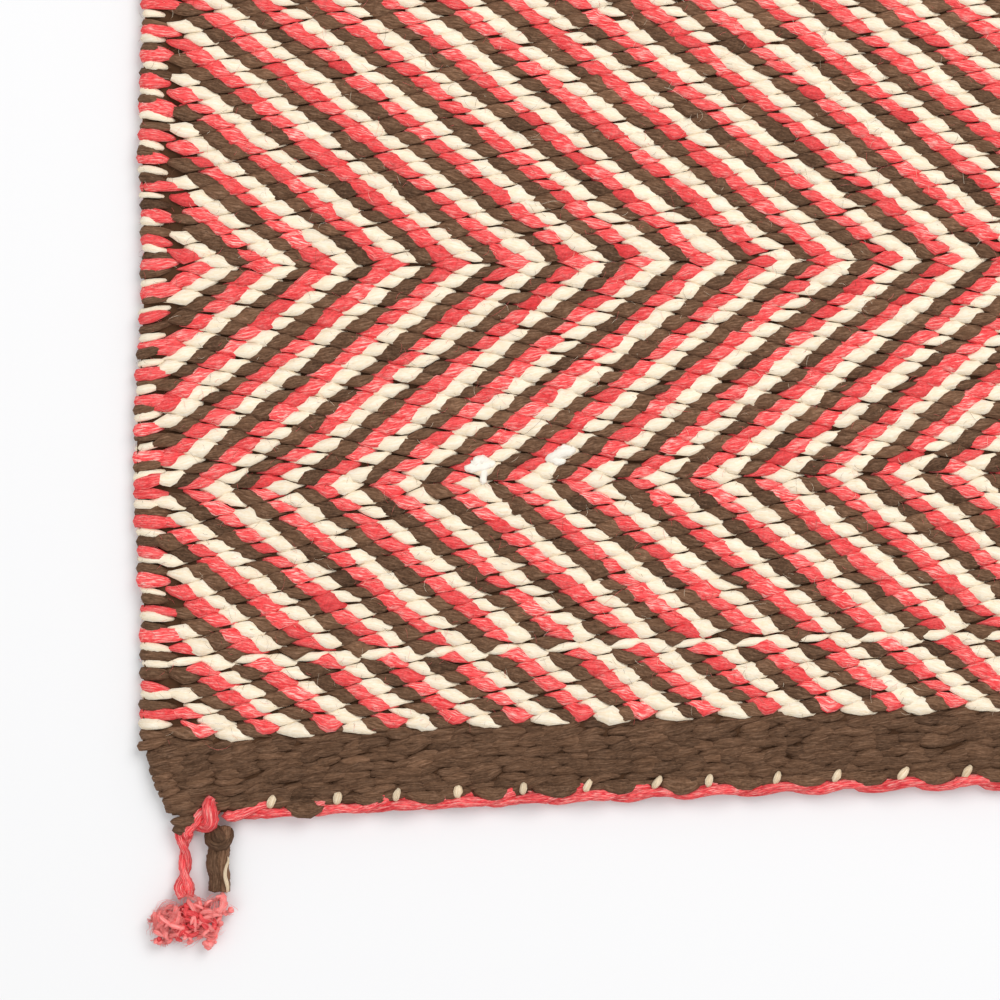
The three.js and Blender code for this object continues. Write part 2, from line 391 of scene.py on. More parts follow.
def wool(name, dark, light, pale, pale_share, grain, bump=0.8, sheen=0.3, tone_share=0.09, fade=0.0):
    """A wool yarn: streaked between two tones and grained, with paler fibres on top.

    tone_share is how much lighter a yarn's own tone makes it, and fade how much paler.
    """
    if name in bpy.data.materials:
        return bpy.data.materials[name]
    material = bpy.data.materials.new(name)
    material.use_nodes = True
    tree = material.node_tree
    tree.nodes.clear()
    out = node(tree, "ShaderNodeOutputMaterial", (900, 0))
    shader = node(tree, "ShaderNodeBsdfPrincipled", (600, 0))
    tree.links.new(shader.outputs[0], out.inputs["Surface"])
    yarn = node(tree, "ShaderNodeUVMap", (-700, 100), uv_map="YarnUV")
    tone = node(tree, "ShaderNodeAttribute", (-700, -100), attribute_name="tone")
    fibres = node(tree, "ShaderNodeGroup", (-450, 0))
    fibres.node_tree = fibre_group()
    tree.links.new(yarn.outputs["UV"], fibres.inputs["Yarn"])
    tree.links.new(tone.outputs["Fac"], fibres.inputs["Tone"])
    streaked = mix_node(tree, "MIX", fibres.outputs["Streak"], linear(dark), linear(light), (-200, 100))
    faded = math_node(tree, "MULTIPLY_ADD", tone.outputs["Fac"], fade, (-350, -120))
    faded.node.inputs[2].default_value = pale_share
    share = math_node(tree, "MULTIPLY", fibres.outputs["Pale Fibre"], faded, (-200, -120))
    share.node.use_clamp = True
    flecked = mix_node(tree, "MIX", share, streaked, linear(pale), (0, 100))
    shade = math_node(tree, "MULTIPLY_ADD", tone.outputs["Fac"], tone_share, (-200, -280))
    shade.node.inputs[2].default_value = 0.93 - 0.5 * grain
    grained = math_node(tree, "MULTIPLY_ADD", fibres.outputs["Grain"], grain, (-100, -280))
    tree.links.new(shade, grained.node.inputs[2])
    slub = math_node(tree, "MULTIPLY_ADD", fibres.outputs["Slub"], 0.14, (0, -280))
    tree.links.new(grained, slub.node.inputs[2])
    toned = node(tree, "ShaderNodeVectorMath", (250, 100), operation="SCALE")
    tree.links.new(flecked, toned.inputs[0])
    tree.links.new(slub, toned.inputs["Scale"])
    tree.links.new(toned.outputs[0], shader.inputs["Base Color"])
    relief = node(tree, "ShaderNodeBump", (300, -250))
    relief.inputs["Strength"].default_value = bump
    relief.inputs["Distance"].default_value = 0.25 * MM
    tree.links.new(fibres.outputs["Height"], relief.inputs["Height"])
    tree.links.new(relief.outputs[0], shader.inputs["Normal"])
    shader.inputs["Roughness"].default_value = 0.88
    shader.inputs["Specular IOR Level"].default_value = 0.18
    shader.inputs["Sheen Weight"].default_value = sheen
    shader.inputs["Sheen Roughness"].default_value = 0.45
    shader.inputs["Sheen Tint"].default_value = linear(light)
    return material


def yarn_wool(colour):
    """The wool of one of the three weft colours."""
    look = bpy.context.scene.blanket_wool
    if colour == CREAM:
        tones = look.cream_dark, look.cream, look.cream_pale
        return wool("Cream Wool", *tones, pale_share=0.5, grain=0.22, bump=0.5, tone_share=0.03)
    if colour == BROWN:
        tones = look.brown_dark, look.brown, look.brown_pale
        return wool("Brown Wool", *tones, pale_share=0.45, grain=1.3, tone_share=0.24)
    tones = look.red_dark, look.red, look.red_pale
    return wool("Red Wool", *tones, pale_share=0.75, grain=0.9, tone_share=0.12, fade=0.4)


def cord_wool():
    """The softer red of the twined cords and tassel stems."""
    look = bpy.context.scene.blanket_wool
    return wool("Red Cord Wool", look.red_deep, look.red, look.red_pale, pale_share=0.8, grain=0.9)


def bare_warp_wool():
    """The undyed wool of the warps, where it shows."""
    look = bpy.context.scene.blanket_wool
    tones = look.bare_dark, look.bare, look.cream_pale
    return wool("Bare Warp Wool", *tones, pale_share=0.3, grain=0.15, bump=0.4)


def loop_wool():
    """The soiled warp ends that loop over the end cords."""
    look = bpy.context.scene.blanket_wool
    return wool("Warp Loop Wool", look.loop_dark, look.loop, look.cream, pale_share=0.5, grain=0.5)


def tuft_wool(worn):
    """The fluffed red of the tufts: deep red inside as painted shade, and pale pink outside where it is worn
    and painted as lit.
    """
    look = bpy.context.scene.blanket_wool
    if worn:
        # The lit copy: worn pale pink, painted lighter where light falls on the tuft's outside
        tones = look.red, look.red_tip, look.red_pale
        return wool("Worn Lit Tuft Wool", *tones, pale_share=0.7, grain=0.3, bump=0.5, sheen=0.8)
    # The shaded copy: deep red painted as the shade inside the tuft
    tones = look.red_deep, look.red, look.red_tip
    return wool("Shaded Deep Tuft Wool", *tones, pale_share=0.3, grain=0.5, sheen=0.4)


def twill_ground():
    """Material of the woven ground, drawn from the weave's own counts.

    The same twill shows on its underside. The top is seen only in the hollows between the floats, and it is
    painted dark brown as the shade that falls there.
    """
    look = bpy.context.scene.blanket_wool
    material = bpy.data.materials.new("Twill Ground")
    material.use_nodes = True
    tree = material.node_tree
    tree.nodes.clear()
    out = node(tree, "ShaderNodeOutputMaterial", (1200, 0))
    shader = node(tree, "ShaderNodeBsdfPrincipled", (950, 0))
    tree.links.new(shader.outputs[0], out.inputs["Surface"])
    warp = node(tree, "ShaderNodeAttribute", (-900, 200), attribute_name="warp")
    phase = node(tree, "ShaderNodeAttribute", (-900, -100), attribute_name="phase")
    band = node(tree, "ShaderNodeAttribute", (-900, -300), attribute_name="band")
    column = math_node(tree, "FLOOR", warp.outputs["Fac"], None, (-700, 200))
    place = math_node(tree, "MODULO", column, 4.0, (-550, 200))
    lifted = math_node(tree, "SUBTRACT", phase.outputs["Fac"], place, (-400, 0))
    quarter = math_node(tree, "DIVIDE", lifted, 4.0, (-250, 0))
    turn = math_node(tree, "FLOOR", quarter, None, (-100, 100))
    within = math_node(tree, "FRACT", quarter, None, (-100, -60))
    upper = math_node(tree, "GREATER_THAN", within, 0.5, (50, -60))
    count = math_node(tree, "ADD", turn, place, (50, 140))
    count = math_node(tree, "ADD", count, upper, (200, 140))
    index = math_node(tree, "FLOORED_MODULO", count, 3.0, (350, 140))
    not_cream = math_node(tree, "GREATER_THAN", index, 0.5, (500, 200))
    is_red = math_node(tree, "GREATER_THAN", index, 1.5, (500, 40))
    plain = mix_node(tree, "MIX", not_cream, linear(look.cream_dark), linear(look.brown_dark), (620, 200))
    striped = mix_node(tree, "MIX", is_red, plain, linear(look.red_dark), (620, 40))
    banded = mix_node(tree, "MIX", band.outputs["Fac"], striped, linear(look.brown_dark), (760, 100))
    place_map = node(tree, "ShaderNodeTexCoord", (300, 420))
    height_of = node(tree, "ShaderNodeSeparateXYZ", (480, 420))
    tree.links.new(place_map.outputs["Object"], height_of.inputs[0])
    # The top face is painted dark brown: painted shade in the hollows between the floats
    face = math_node(tree, "GREATER_THAN", height_of.outputs[2], 0.6 * GROUND_TOP * MM, (640, 420))
    painted_hollow_shade = mix_node(tree, "MIX", face, banded, linear(look.brown_dark), (860, 250))
    tree.links.new(painted_hollow_shade, shader.inputs["Base Color"])
    halved = math_node(tree, "MULTIPLY", within, 2.0, (50, -260))
    round_row = math_node(tree, "PINGPONG", halved, 0.5, (200, -260))
    across = math_node(tree, "PINGPONG", warp.outputs["Fac"], 0.5, (200, -420))
    height = math_node(tree, "ADD", round_row, across, (350, -320))
    relief = node(tree, "ShaderNodeBump", (620, -300))
    relief.inputs["Strength"].default_value = 0.8
    relief.inputs["Distance"].default_value = 1.2 * MM
    tree.links.new(height, relief.inputs["Height"])
    tree.links.new(relief.outputs[0], shader.inputs["Normal"])
    shader.inputs["Roughness"].default_value = 0.95
    shader.inputs["Specular IOR Level"].default_value = 0.1
    return material


# Settings


class BlanketSizes(PropertyGroup):
    """Sizes of the yarns and of the loose pieces"""

    weft_width: FloatProperty(
        name="Weft Width",
        description="Half the width of a weft where it is plumpest, as a share of the room it has",
        default=0.405,
    )
    weft_neck: FloatProperty(
        name="Weft Neck",
        description="Half the width of a weft over a warp, as a share of the room it has",
        default=0.66,
    )
    weft_height: FloatProperty(
        name="Weft Height", description="Half the thickness of a weft", default=1.1 * MM, unit="LENGTH"
    )
    weft_crown: FloatProperty(
        name="Weft Crown", description="Height of a weft's middle line", default=5.15 * MM, unit="LENGTH"
    )
    weft_dip: FloatProperty(
        name="Weft Dip", description="How far a weft's ends dive", default=1.3 * MM, unit="LENGTH"
    )
    loose_fibres: IntProperty(
        name="Loose Fibres", description="Fine fibres that stand off the yarns", default=3800, min=0
    )


def wool_colour(name, description, colour):
    """A display colour that the panel shows."""
    return FloatVectorProperty(name=name, description=description, subtype="COLOR_GAMMA", default=colour)


class BlanketWool(PropertyGroup):
    """Display colours of the wools"""

    cream: wool_colour("Cream", "Cream wool", (0.975, 0.93, 0.85))
    cream_dark: wool_colour("Cream Hollow", "Cream between fibres", (0.95, 0.87, 0.74))
    cream_pale: wool_colour("Cream Fibre", "Palest cream fibres", (0.995, 0.97, 0.915))
    bare: wool_colour("Bare Warp", "Undyed warps", (0.97, 0.945, 0.905))
    bare_dark: wool_colour("Bare Hollow", "Undyed warps, inside", (0.95, 0.92, 0.865))
    loop: wool_colour("Warp Loop", "Soiled warp ends", (0.93, 0.86, 0.74))
    loop_dark: wool_colour("Loop Hollow", "Soiled warp ends, inside", (0.82, 0.7, 0.55))
    brown: wool_colour("Brown", "Brown wool", (0.45, 0.33, 0.245))
    # Also the painted shade on the woven ground's top, between the floats
    brown_dark: wool_colour("Brown Hollow", "Brown between fibres", (0.33, 0.23, 0.16))
    brown_pale: wool_colour("Brown Fibre", "Palest brown fibres", (0.66, 0.52, 0.42))
    red: wool_colour("Red", "Red wool", (0.99, 0.37, 0.37))
    red_dark: wool_colour("Red Hollow", "Red between fibres", (0.9, 0.22, 0.235))
    # Painted shade inside the tufts, and the darkest red of the cords
    red_deep: wool_colour("Red Depth", "Inside of a tuft", (0.78, 0.13, 0.19))
    red_tip: wool_colour("Red Tip", "Worn pale tips", (1.0, 0.64, 0.62))
    red_pale: wool_colour("Red Fibre", "Palest red fibres", (1.0, 0.76, 0.72))


class BlanketStage(PropertyGroup):
    """Camera and light"""

    view_width: FloatProperty(
        name="View Width", description="Width of cloth that fills the picture", default=0.2625, unit="LENGTH"
    )
    camera_height: FloatProperty(
        name="Camera Height", description="Height of the camera over the surface", default=0.9, unit="LENGTH"
    )
    sky: FloatProperty(name="Sky", description="Strength of the even light from all sides", default=0.62)
    key: FloatProperty(
        name="Key", description="Power of the large lamp at the upper right", default=10.0, unit="POWER"
    )


# Pieces


class BLANKET_OT_ground(Operator):
    """Lays the woven ground that the wefts stand on"""

    bl_idname = "blanket.ground"
    bl_label = "Woven Ground"

    COLUMNS = 64
    ROWS = 150

    def execute(self, context):
        deselect_all()
        bpy.ops.mesh.primitive_grid_add(x_subdivisions=self.COLUMNS, y_subdivisions=self.ROWS, size=2.0)
        ground = context.object
        ground.name = "woven_ground"
        mesh = ground.data
        points = np.empty(len(mesh.vertices) * 3)
        mesh.vertices.foreach_get("co", points)
        points = points.reshape(-1, 3)
        share, v = points[:, 0].copy(), points[:, 1] * WOVEN_HALF
        rim = 1.2
        half = np.where(share < 0, half_width(v, -1), half_width(v, 1)) - rim
        x = share * half
        points[:, 0] = x
        points[:, 1] = bowed(x, v)
        points[:, 2] = GROUND_TOP
        mesh.vertices.foreach_set("co", (points * MM).ravel())
        warps = np.interp(x, warp_place(np.arange(WARPS)), np.arange(WARPS) + 0.5)
        picks = np.interp(v, PLAN.row, np.arange(PLAN.count))
        for label, values in (
            ("warp", warps),
            ("phase", np.interp(picks, np.arange(PLAN.count), PLAN.phase + 400)),
            ("band", np.interp(picks, np.arange(PLAN.count), PLAN.band.astype(float))),
        ):
            attribute = mesh.attributes.new(label, "FLOAT", "POINT")
            attribute.data.foreach_set("value", values.astype(np.float32))
        wall = ground.modifiers.new("Depth", "SOLIDIFY")
        wall.thickness = (GROUND_TOP - UNDERSIDE) * MM
        wall.offset = -1.0
        bpy.ops.object.modifier_apply(modifier=wall.name)
        bpy.ops.object.shade_smooth_by_angle(angle=math.radians(40))
        mesh.materials.clear()
        mesh.materials.append(twill_ground())
        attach(ground, "root")
        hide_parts("blanket")
        return {"FINISHED"}


def kept_tone(values):
    """Tones of strands, held within what the wools allow."""
    return np.clip(values, -TONE_LIMIT, TONE_LIMIT)


class WeftTable:
    """Every weft float on the face, as stations that a strand runs through."""

    # Half length of a float in warp spacings, and how much further its pointed end runs
    REACH = 1.4
    POINT = 0.14
    # Share of a row's slant that a float has taken over its outer warps, and at its ends
    OVER_WARP = 0.72
    AT_END = 2.0
    # Least and most half width at its middle and over a warp
    FULL_RANGE = (1.2, 2.0)
    NECK_RANGE = (0.95, 1.6)
    EXTRA_THICKNESS = 0.9

    def __init__(self, sizes):
        picks, warps = [], []
        for pick in np.nonzero(~PLAN.band)[0]:
            along = np.arange(PLAN.shed[pick], WARPS - 2, 4)
            picks.append(np.full(len(along), pick))
            warps.append(along)
        pick = np.concatenate(picks)
        warp = np.concatenate(warps)
        middle = warp_place(warp + 0.5)
        v = PLAN.row[pick]
        inside = (middle > EDGE_ROOM - half_width(v, -1)) & (middle < half_width(v, 1) - EDGE_ROOM)
        pick, warp, middle = pick[inside], warp[inside], middle[inside]
        left, right = warp_place(warp), warp_place(warp + 1)
        count = len(pick)

        def uneven(spread):
            return spread * rng.standard_normal(count)

        fall = PLAN.left[pick] - PLAN.middle[pick], PLAN.right[pick] - PLAN.middle[pick]
        # A float's lower end runs out to a point and its upper end is blunt
        lower = [np.where(drop < 0.0, 1.0, -1.0) for drop in fall]
        reach = [(right - left) * (self.REACH + self.POINT * low + uneven(0.1)) for low in lower]
        x = np.stack([middle - reach[0], left, middle, right, middle + reach[1]], axis=-1)
        base = PLAN.middle[pick] + uneven(0.17)
        end_left = base + self.AT_END * fall[0] + uneven(0.32)
        end_right = base + self.AT_END * fall[1] + uneven(0.32)
        over_left = base + self.OVER_WARP * fall[0] + uneven(0.1)
        over_right = base + self.OVER_WARP * fall[1] + uneven(0.1)
        v = np.stack([end_left, over_left, base, over_right, end_right], axis=-1)
        crown = sizes.weft_crown / MM + uneven(0.16)
        ends = crown - sizes.weft_dip / MM
        over = crown - 0.08
        z = np.stack([ends, over, crown, over, ends], axis=-1)
        self.line = np.stack([x, bowed(x, v), z], axis=-1)
        thick = 1.0 + uneven(0.11) + 0.08 * rng.standard_normal(PLAN.count)[pick]
        thick *= np.where(PLAN.extra[pick], self.EXTRA_THICKNESS, 1.0)
        full = np.clip(sizes.weft_width * PLAN.middle_room[pick], *self.FULL_RANGE)
        rooms = PLAN.left_room, PLAN.right_room
        necks = [np.clip(sizes.weft_neck * room[pick], *self.NECK_RANGE) for room in rooms]
        tips = [neck * (0.9 - 0.4 * low) for neck, low in zip(necks, lower)]
        self.wide = np.stack([tips[0], necks[0], full, necks[1], tips[1]], axis=-1) * thick[:, None]
        self.high = np.full((count, 5), sizes.weft_height / MM)
        self.colour = PLAN.colour[pick]
        self.tone = kept_tone(uneven(0.55) + 0.35 * rng.standard_normal(PLAN.count)[pick])
        self.fine = (middle < FINE_CORNER[0]) & (self.line[:, 2, 1] < FINE_CORNER[1])


def lay_stations(name, form, stations, wide, high, tone, colour, material=None, blunt=0.0, **options):
    """Strands of one weft colour that run smoothly through stations. blunt rounds their ends."""
    places = np.linspace(-1.0, 1.0, form.steps + 1)
    cap = 1.0
    if blunt:
        places = np.sin(0.5 * math.pi * places)
        cap = np.clip(1.0 - places**2, 0.0, 1.0) ** blunt
    line = through(stations.transpose(0, 2, 1), places).transpose(0, 2, 1)
    return lay_strands(
        name,
        form,
        line,
        cap * np.clip(through(wide, places), 0.0, None),
        cap * np.clip(through(high, places), 0.0, None),
        tone,
        material or yarn_wool(colour),
        f"{COLOUR_NAMES[colour]}_wool",
        **options,
    )


class BLANKET_OT_wefts(Operator):
    """Lays every weft float of the face, in full detail at the front left corner"""

    bl_idname = "blanket.wefts"
    bl_label = "Weft Floats"

    FIELD_SWELL = 1.12  # the field's floats have fewer faces, and this makes up their fullness

    def execute(self, context):
        table = WeftTable(context.scene.blanket_sizes)
        for part, fine, form in (("corner", True, StrandForm(6, 8)), ("field", False, StrandForm(3, 3))):
            swell = 1.0 if fine else self.FIELD_SWELL
            for colour, colour_name in enumerate(COLOUR_NAMES):
                chosen = (table.colour == colour) & (table.fine == fine)
                lay_stations(
                    f"weft_{colour_name}_{part}",
                    form,
                    table.line[chosen],
                    swell * table.wide[chosen],
                    swell * table.high[chosen],
                    table.tone[chosen],
                    colour,
                    blunt=0.55,
                    rough=0.07 if fine else 0.0,
                )
        return {"FINISHED"}


def at_corner(places, side, end):
    """Places near a corner, given as inward, outward and up, in the blanket's frame."""
    places = np.asarray(places, dtype=float)
    x = side * (HALF_WIDTH - places[..., 0])
    y = end * (HALF_LENGTH + places[..., 1])
    return np.stack([x, y, places[..., 2]], axis=-1)


BAND_ROWS = np.arange(WOVEN_HALF - 1.6, HALF_LENGTH - 26.0, -2.1)


class BLANKET_OT_bands(Operator):
    """Lays the brown yarns of the two end bands"""

    bl_idname = "blanket.bands"
    bl_label = "End Bands"

    STEP = 5.8
    HALF_YARN = 4.6

    def execute(self, context):
        offsets = np.array([-1.0, -0.5, 0.0, 0.5, 1.0])
        for end, label in ((-1, "front"), (1, "back")):
            stations, wide = [], []
            for row in BAND_ROWS:
                limit = half_width(np.array([row]), end)[0] - 8.0
                middle = np.arange(-limit, limit, self.STEP)
                count = len(middle)
                middle = middle + rng.uniform(-2.0, 2.0, count)
                x = middle[:, None] + offsets * self.HALF_YARN * rng.uniform(0.8, 1.3, (count, 1))
                lean = rng.normal(0.45, 0.35, (count, 1)) * np.where(x < 0, 1.0, -1.0)
                v = end * row + rng.normal(0.0, 0.25, (count, 1)) + lean * offsets
                v = v + rng.normal(0.0, 0.16, (count, 5))
                sunk = 0.55 * np.clip((HALF_LENGTH - 19.0 - row) / 2.1, 0.0, 2.0)
                z = 4.75 - sunk - 1.1 * offsets**2 + rng.normal(0.0, 0.2, (count, 1))
                stations.append(np.stack([x, bowed(x, v), z], axis=-1))
                wide.append(rng.normal(1.0, 0.12, (count, 1)) * np.array([1.15, 1.3, 1.35, 1.3, 1.15]))
            stations, wide = np.concatenate(stations), np.concatenate(wide)
            fine = (stations[:, 2, 0] < FINE_CORNER[0]) & (end < 0)
            parts = ("corner", fine, StrandForm(6, 8)), ("field", ~fine, StrandForm(4, 5))
            for part, chosen, form in parts:
                if chosen.any():
                    lay_stations(
                        f"band_{label}_{part}",
                        form,
                        stations[chosen],
                        wide[chosen],
                        0.85 * wide[chosen],
                        kept_tone(rng.normal(-0.55, 0.45, chosen.sum())),
                        BROWN,
                        blunt=0.4,
                        rough=0.09,
                    )
            self.ears(label, end)
        return {"FINISHED"}

    def ears(self, label, end):
        """The yarns that fill the two drawn-in corners of an end."""
        inward = np.array([[8.4, 10.6, 12.8, 15.0, 17.6], [9.2, 10.4, 11.8, 13.4, 15.2]])
        outward = np.array([[-1.4, -1.5, -1.7, -2.0, -2.4], [0.5, 0.6, 0.5, 0.2, -0.4]])
        upward = np.array([[2.6, 4.4, 4.8, 4.6, 3.6], [2.2, 3.6, 4.0, 3.8, 3.0]])
        places = np.stack([inward, outward, upward], axis=-1)
        stations = np.concatenate([at_corner(places, side, end) for side in (-1, 1)])
        wide = np.tile([0.3, 1.3, 1.6, 1.4, 0.2], (4, 1))
        tone = np.array([-0.4, -1.0, -0.4, -1.0])
        lay_stations(f"band_ears_{label}", StrandForm(7, 8), stations, wide, wide, tone, BROWN, rough=0.08)


class BLANKET_OT_edge_turns(Operator):
    """Lays the wefts that turn round the two side edges"""

    bl_idname = "blanket.edge_turns"
    bl_label = "Edge Turns"

    # Half width of a turn, and how far it may run in, for each colour
    THICKNESS = {CREAM: 1.02, BROWN: 1.25, RED: 1.6}
    RUN = {CREAM: (0.8, 1.3), BROWN: (0.85, 1.4), RED: (1.0, 1.75)}
    RISE = {CREAM: -0.15, BROWN: -0.1, RED: 0.2}
    INWARD = np.array([2.6, 1.0, 2.5, 5.2, 8.4])
    HEIGHT = np.array([0.9, 2.7, 4.75, 4.95, 3.0])
    DRIFT = np.array([0.2, 0.0, 0.25, 0.85, 1.5])

    def execute(self, context):
        picks = np.arange(0, PLAN.count, 2)
        picks = picks[~PLAN.band[picks]]
        for colour in (CREAM, BROWN, RED):
            chosen = picks[PLAN.colour[picks] == colour]
            rows, slopes = PLAN.row[chosen] + 0.6, PLAN.slope[chosen]
            if colour == BROWN:
                band = BAND_ROWS[:-2]
                rows = np.concatenate([rows, band, -band])
                slopes = np.concatenate([slopes, np.ones(len(band)), -np.ones(len(band))])
            self.turn(colour, rows, slopes)
        return {"FINISHED"}

    def turn(self, colour, rows, slopes):
        """The turns of one colour on both sides."""
        count = len(rows)
        stations, wide = [], []
        for side in (-1, 1):
            run = rng.uniform(*self.RUN[colour], (count, 1))
            inward = self.INWARD * np.concatenate([np.ones((count, 2)), np.repeat(run, 3, axis=1)], axis=1)
            inward = inward + rng.normal(0.0, 0.22, (count, 1)) + rng.normal(0.0, 0.12, (count, 5))
            drift = side * slopes[:, None] * self.DRIFT * rng.uniform(0.3, 1.4, (count, 1))
            v = rows[:, None] + drift + rng.normal(0.0, 0.3, (count, 1))
            x = side * (half_width(v, side) - inward)
            z = self.HEIGHT + self.RISE[colour] + rng.normal(0.0, 0.16, (count, 1))
            stations.append(np.stack([x, bowed(x, v), z], axis=-1))
            spread = rng.normal(1.0, 0.15, (count, 1))
            wide.append(self.THICKNESS[colour] * spread * np.array([0.6, 1.0, 1.08, 0.92, 0.0]))
        stations, wide = np.concatenate(stations), np.concatenate(wide)
        lay_stations(
            f"edge_turns_{COLOUR_NAMES[colour]}",
            StrandForm(6, 9),
            stations,
            wide,
            np.minimum(wide, 1.15),
            kept_tone(rng.normal(0.0, 0.7, len(stations))),
            colour,
            across=np.array([0.0, 1.0, 0.0]),
            rough=0.05,
        )


def end_line(x):
    """Distance of an end's outer line from the middle."""
    return HALF_LENGTH - CORD_BOW * (1.0 - (x / HALF_WIDTH) ** 2)


def smooth_route(route, steps):
    """Points along a smooth curve through a route's places."""
    route = np.asarray(route, dtype=float)
    padded = np.concatenate([2 * route[:1] - route[1:2], route, 2 * route[-1:] - route[-2:-1]])
    t = np.linspace(0.0, len(route) - 1.000001, steps + 1)
    i = np.floor(t).astype(int)
    f = (t - i)[:, None]
    p0, p1, p2, p3 = (padded[i + k] for k in range(4))
    bend = 2 * p0 - 5 * p1 + 4 * p2 - p3
    turn = 3 * (p1 - p2) + p3 - p0
    return 0.5 * (2 * p1 + (p2 - p0) * f + bend * f**2 + turn * f**3)


def plied(line, offset, strand_length, start=0.0, plies=2):
    """Lines of the plies that wind round a yarn's own line. offset is their distance from it."""
    tangent = unit(np.gradient(line, axis=0))
    side = unit(np.cross(np.array([0.0, 0.0, 1.0]), tangent))
    up = np.cross(tangent, side)
    run = np.concatenate([[0.0], np.cumsum(np.linalg.norm(np.diff(line, axis=0), axis=1))])
    wound = []
    for ply in range(plies):
        turn = start + math.tau * (ply / plies) - math.tau * run / (plies * strand_length)
        swing = side * np.cos(turn)[:, None] + up * np.sin(turn)[:, None]
        wound.append(line + swing * np.broadcast_to(offset, len(line))[:, None])
    return np.stack(wound)


class BLANKET_OT_end_cords(Operator):
    """Twines the red cord along each end, with the warps' cream loops over its crests"""

    bl_idname = "blanket.end_cords"
    bl_label = "End Cords"

    HALF = 359.0
    STRAND = 16.6
    FIRST_CREST = -346.0
    SLIP = 1.6  # how far the first scallop has slid out over the cord
    PLY_HALF = 1.4
    PLY_OFFSET = 1.15
    STEPS = 430

    def execute(self, context):
        form = StrandForm(8, self.STEPS)
        crests = np.arange(self.FIRST_CREST, self.HALF - 6.0, self.STRAND)
        for end, label in ((-1, "front"), (1, "back")):
            x = np.linspace(-self.HALF, self.HALF, self.STEPS + 1)
            crest = 0.5 + 0.5 * np.cos(math.tau * (x - self.FIRST_CREST) / self.STRAND)
            y = end * (end_line(x) - 1.7 - 1.3 * crest)
            line = np.stack([x, y, 3.2 + 1.0 * crest], axis=-1)
            half_turn = 1.0 if end > 0 else 0.0
            start = math.pi * half_turn + math.pi * (self.FIRST_CREST + self.HALF) / self.STRAND
            plies = plied(line, self.PLY_OFFSET, self.STRAND, start=start)
            wide = self.PLY_HALF * (1.0 + 0.1 * np.sin(x / 1.9 + np.array([[0.0], [2.0]])))
            cord = lay_strands(
                f"end_cord_{label}_twined",
                form,
                plies,
                wide,
                wide,
                np.array([0.6, -0.5]),
                cord_wool(),
                "red_wool",
                rough=0.07,
            )
            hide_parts(f"end_cord_{label}")
            self.loops(label, end, crests)
            self.scallops(label, end, crests + 0.5 * self.STRAND)
        return {"FINISHED"}

    def loops(self, label, end, places):
        """The warps' ends, which show as pale loops over the cord's crests."""
        count = len(places)
        at = places + rng.normal(0.0, 0.7, count)
        along = np.linspace(-1.0, 1.0, 5)
        stations = np.empty((count, 5, 3))
        stations[..., 0] = at[:, None] - 0.8 * along * rng.normal(0.8, 0.5, (count, 1))
        stations[..., 1] = end * ((end_line(at) - 4.7)[:, None] + 1.75 * along)
        stations[..., 2] = 6.1 - 0.9 * along**2
        wide = rng.normal(1.0, 0.14, (count, 1)) * np.array([0.7, 0.9, 0.95, 0.9, 0.8])
        tone = rng.normal(0.0, 0.6, count)
        lay_stations(
            f"warp_loops_{label}",
            StrandForm(6, 6),
            stations,
            wide,
            0.8 * wide,
            tone,
            CREAM,
            material=loop_wool(),
            blunt=0.4,
            rough=0.12,
        )

    def scallops(self, label, end, places):
        """The last brown wefts, which bulge over the cord between its crests."""
        count = len(places)
        at = places + rng.normal(0.0, 0.7, count)
        along = np.linspace(-1.0, 1.0, 5)
        stations = np.empty((count, 5, 3))
        stations[..., 0] = at[:, None] + 6.2 * along * rng.uniform(0.8, 1.15, (count, 1))
        slipped = np.where(np.arange(count) == 0, self.SLIP, 0.0)
        stations[..., 1] = end * ((end_line(at) - 3.5 + slipped)[:, None] - 1.3 * along**2)
        stations[..., 2] = 5.3 - 0.9 * along**2
        wide = rng.normal(1.0, 0.12, (count, 1)) * np.array([0.0, 1.5, 1.75, 1.5, 0.0])
        tone = rng.normal(0.0, 0.6, count)
        form = StrandForm(7, 8)
        lay_stations(f"band_scallops_{label}", form, stations, wide, 0.7 * wide, tone, BROWN, rough=0.08)


